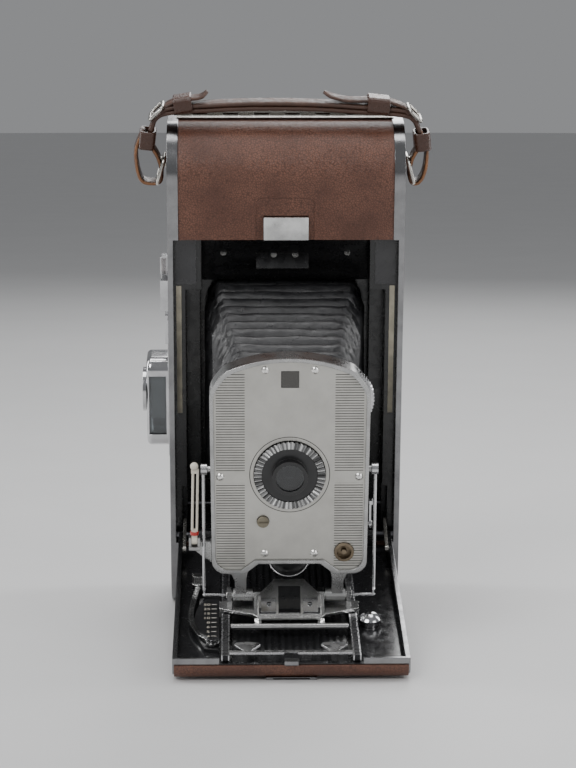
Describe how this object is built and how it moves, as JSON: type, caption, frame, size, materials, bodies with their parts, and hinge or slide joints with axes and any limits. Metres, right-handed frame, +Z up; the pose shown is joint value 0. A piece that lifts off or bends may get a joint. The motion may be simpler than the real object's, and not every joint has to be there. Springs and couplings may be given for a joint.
{
  "type": "instant camera",
  "caption": "Folding roll-film instant camera with drop bed, bellows, lens standard, leather panels, opening back and carrying strap.",
  "frame": {"origin": "centre of the bounding box on the table the camera stands on", "axes": "+Z up from the table, -Y the way the lens looks, +X to the right seen from the front"},
  "size_m": [0.147, 0.2159, 0.2674],
  "materials": {
    "aged_nickel": "aged",
    "bellows_leather": "creased",
    "black_enamel": "gloss",
    "brass": "aged",
    "brown_leather": "grained",
    "chrome_plate": "polished",
    "clear_glass": "clear",
    "cream_enamel": "gloss",
    "cream_strip": "satin",
    "dark_steel": "brushed",
    "gloss_black": "gloss",
    "grey_panel": "satin",
    "lens_glass": "coated",
    "nickel": "polished",
    "paper_roll": "matt",
    "polished_aluminium": "polished",
    "polished_housing": "polished",
    "polished_steel": "polished",
    "red_enamel": "gloss",
    "roller_steel": "ground",
    "satin_black": "satin",
    "satin_plate": "satin",
    "smoked_window": "smoked",
    "strap_leather": "worn"
  },
  "bodies": {
    "body": {"body_shell": "black_enamel", "side_frames": "polished_aluminium", "side_leathers": "brown_leather", "end_leathers": "brown_leather", "recess_panels": "grey_panel", "seal_strips": "cream_strip", "film_gate": "black_enamel", "body_screws": "nickel", "body_rods": "dark_steel", "side_socket": "nickel", "top_hinge": "nickel", "strap_lugs": "nickel", "finder_housing": "chrome_plate", "finder_base": "chrome_plate", "finder_glass": "clear_glass", "bellows": "bellows_leather"},
    "finder_dial": {"finder_dial": "chrome_plate"},
    "latch_button": {"latch_button": "nickel"},
    "roller_front": {"roller_front": "roller_steel"},
    "roller_back": {"roller_back": "roller_steel"},
    "spool_upper": {"spool_upper": "paper_roll"},
    "spool_lower": {"spool_lower": "paper_roll"},
    "back_cover": {"back_cover": "polished_aluminium", "back_leather": "brown_leather", "cover_hinges": "nickel", "pressure_plate": "dark_steel"},
    "print_door": {"print_door": "polished_aluminium", "print_door_leather": "brown_leather"},
    "print_latch": {"print_latch": "nickel"},
    "bed": {"bed_pan": "black_enamel", "bed_rim": "polished_aluminium", "bed_leather": "brown_leather", "bed_liner": "gloss_black", "tripod_boss": "chrome_plate", "focus_scale": "gloss_black"},
    "brace_left": {"brace_left": "nickel"},
    "brace_right": {"brace_right": "nickel"},
    "focus_lever": {"focus_lever": "chrome_plate"},
    "tracks": {"focus_tracks": "polished_steel"},
    "carriage": {"carriage": "chrome_plate", "carriage_block": "gloss_black"},
    "release_tab_left": {"release_tab_left": "chrome_plate"},
    "release_tab_right": {"release_tab_right": "chrome_plate"},
    "standard": {"standard_housing": "polished_housing", "face_plate": "satin_plate", "plate_screws": "nickel", "lens_ring": "chrome_plate", "lens_barrel": "satin_black", "lens_glass": "lens_glass", "window_glass": "smoked_window", "flash_socket": "brass", "side_wires": "polished_steel"},
    "exposure_wheel": {"exposure_wheel": "chrome_plate"},
    "mode_knob": {"mode_knob": "aged_nickel"},
    "shutter_lever": {"shutter_lever": "chrome_plate"},
    "sight": {"sight_post": "cream_enamel", "sight_collar": "red_enamel"},
    "strap": {"strap": "strap_leather", "strap_rings": "nickel", "strap_buckles": "nickel"}
  },
  "joints": [
    {"name": "bed_fold", "type": "hinge", "parent": "body", "child": "bed", "pos_m": [0.0002, 0.0471, 0.03855], "axis": [-1, 0, 0], "range_deg": [0, 90]},
    {"name": "carriage_slide", "type": "slide", "parent": "tracks", "child": "carriage", "axis": [0, 0.9807, 0.1955], "range_m": [0, 0.0975], "deforming": ["bellows"]},
    {"name": "standard_tilt", "type": "hinge", "parent": "carriage", "child": "standard", "pos_m": [0.0002, -0.05292, 0.0288], "axis": [1, 0, 0], "range_deg": [0, 90.5]},
    {"name": "brace_left_turn", "type": "hinge", "parent": "bed", "child": "brace_left", "pos_m": [-0.0508, 0.02219, 0.03562], "axis": [-1, 0, 0], "range_deg": [0, 20]},
    {"name": "brace_right_turn", "type": "hinge", "parent": "bed", "child": "brace_right", "pos_m": [0.0512, 0.02219, 0.03562], "axis": [-1, 0, 0], "range_deg": [0, 20]},
    {"name": "track_slide", "type": "slide", "parent": "bed", "child": "tracks", "axis": [0, 0.9807, 0.1955], "range_m": [-0.017, 0]},
    {"name": "focus_lever_turn", "type": "hinge", "parent": "bed", "child": "focus_lever", "pos_m": [-0.0358, -0.08039, 0.01313], "axis": [0, -0.1955, 0.9807], "range_deg": [-7.6, 0.1]},
    {"name": "release_tab_left_press", "type": "slide", "parent": "carriage", "child": "release_tab_left", "axis": [1, 0, 0], "range_m": [0, 0.0008], "stiffness_N_per_m": 900},
    {"name": "release_tab_right_press", "type": "slide", "parent": "carriage", "child": "release_tab_right", "axis": [-1, 0, 0], "range_m": [0, 0.0008], "stiffness_N_per_m": 900},
    {"name": "exposure_wheel_turn", "type": "hinge", "parent": "standard", "child": "exposure_wheel", "pos_m": [0.0232, -0.06953, 0.12491], "axis": [0, -0.9807, -0.1955], "range_deg": [-105, 0]},
    {"name": "mode_knob_turn", "type": "hinge", "parent": "standard", "child": "mode_knob", "pos_m": [-0.0122, -0.06447, 0.06626], "axis": [0, -0.9807, -0.1955], "range_deg": [0, 60]},
    {"name": "shutter_lever_press", "type": "hinge", "parent": "standard", "child": "shutter_lever", "pos_m": [0.0382, -0.05702, 0.06367], "axis": [-1, 0, 0], "range_deg": [-14, 0], "stiffness_Nm_per_rad": 0.2},
    {"name": "sight_post_fold", "type": "hinge", "parent": "standard", "child": "sight", "pos_m": [-0.0444, -0.058, 0.05634], "axis": [1, 0, 0], "range_deg": [-90, 0]},
    {"name": "latch_button_press", "type": "slide", "parent": "body", "child": "latch_button", "axis": [0, 0.9807, 0.1955], "range_m": [0, 0.0025], "stiffness_N_per_m": 1500},
    {"name": "finder_dial_turn", "type": "hinge", "parent": "body", "child": "finder_dial", "pos_m": [-0.0708, 0.04627, 0.11435], "axis": [-1, 0, 0], "range_deg": [-45, 45]},
    {"name": "back_cover_open", "type": "hinge", "parent": "body", "child": "back_cover", "pos_m": [0.0002, 0.0407, 0.25477], "axis": [1, 0, 0], "range_deg": [0, 90]},
    {"name": "print_door_open", "type": "hinge", "parent": "back_cover", "child": "print_door", "pos_m": [0.0002, 0.07465, 0.19393], "axis": [1, 0, 0], "range_deg": [0, 100]},
    {"name": "print_latch_press", "type": "slide", "parent": "back_cover", "child": "print_latch", "axis": [0, 0.1955, -0.9807], "range_m": [0, 0.0035], "stiffness_N_per_m": 400},
    {"name": "roller_front_spin", "type": "hinge", "parent": "body", "child": "roller_front", "pos_m": [0.0002, 0.08103, 0.03613], "axis": [1, 0, 0], "continuous": true},
    {"name": "roller_back_spin", "type": "hinge", "parent": "body", "child": "roller_back", "pos_m": [0.0002, 0.09192, 0.0383], "axis": [1, 0, 0], "continuous": true},
    {"name": "spool_upper_spin", "type": "hinge", "parent": "body", "child": "spool_upper", "pos_m": [0.0002, 0.02858, 0.22349], "axis": [1, 0, 0], "continuous": true},
    {"name": "spool_lower_spin", "type": "hinge", "parent": "body", "child": "spool_lower", "pos_m": [0.0002, 0.06886, 0.02147], "axis": [1, 0, 0], "continuous": true},
    {"name": "strap_swing", "type": "hinge", "parent": "body", "child": "strap", "pos_m": [0.0002, 0.02525, 0.22997], "axis": [1, 0, 0], "range_deg": [-12, 12]}
  ],
  "couplings": [
    {"joint": "carriage_slide", "follows": "bed_fold", "m_per_rad": 0.061752},
    {"joint": "standard_tilt", "follows": "bed_fold", "ratio": 1},
    {"joint": "brace_left_turn", "follows": "bed_fold", "ratio": 0.19},
    {"joint": "brace_right_turn", "follows": "bed_fold", "ratio": 0.19},
    {"joint": "focus_lever_turn", "follows": "track_slide", "rad_per_m": 7.7},
    {"joint": "roller_back_spin", "follows": "roller_front_spin", "ratio": -1}
  ]
}
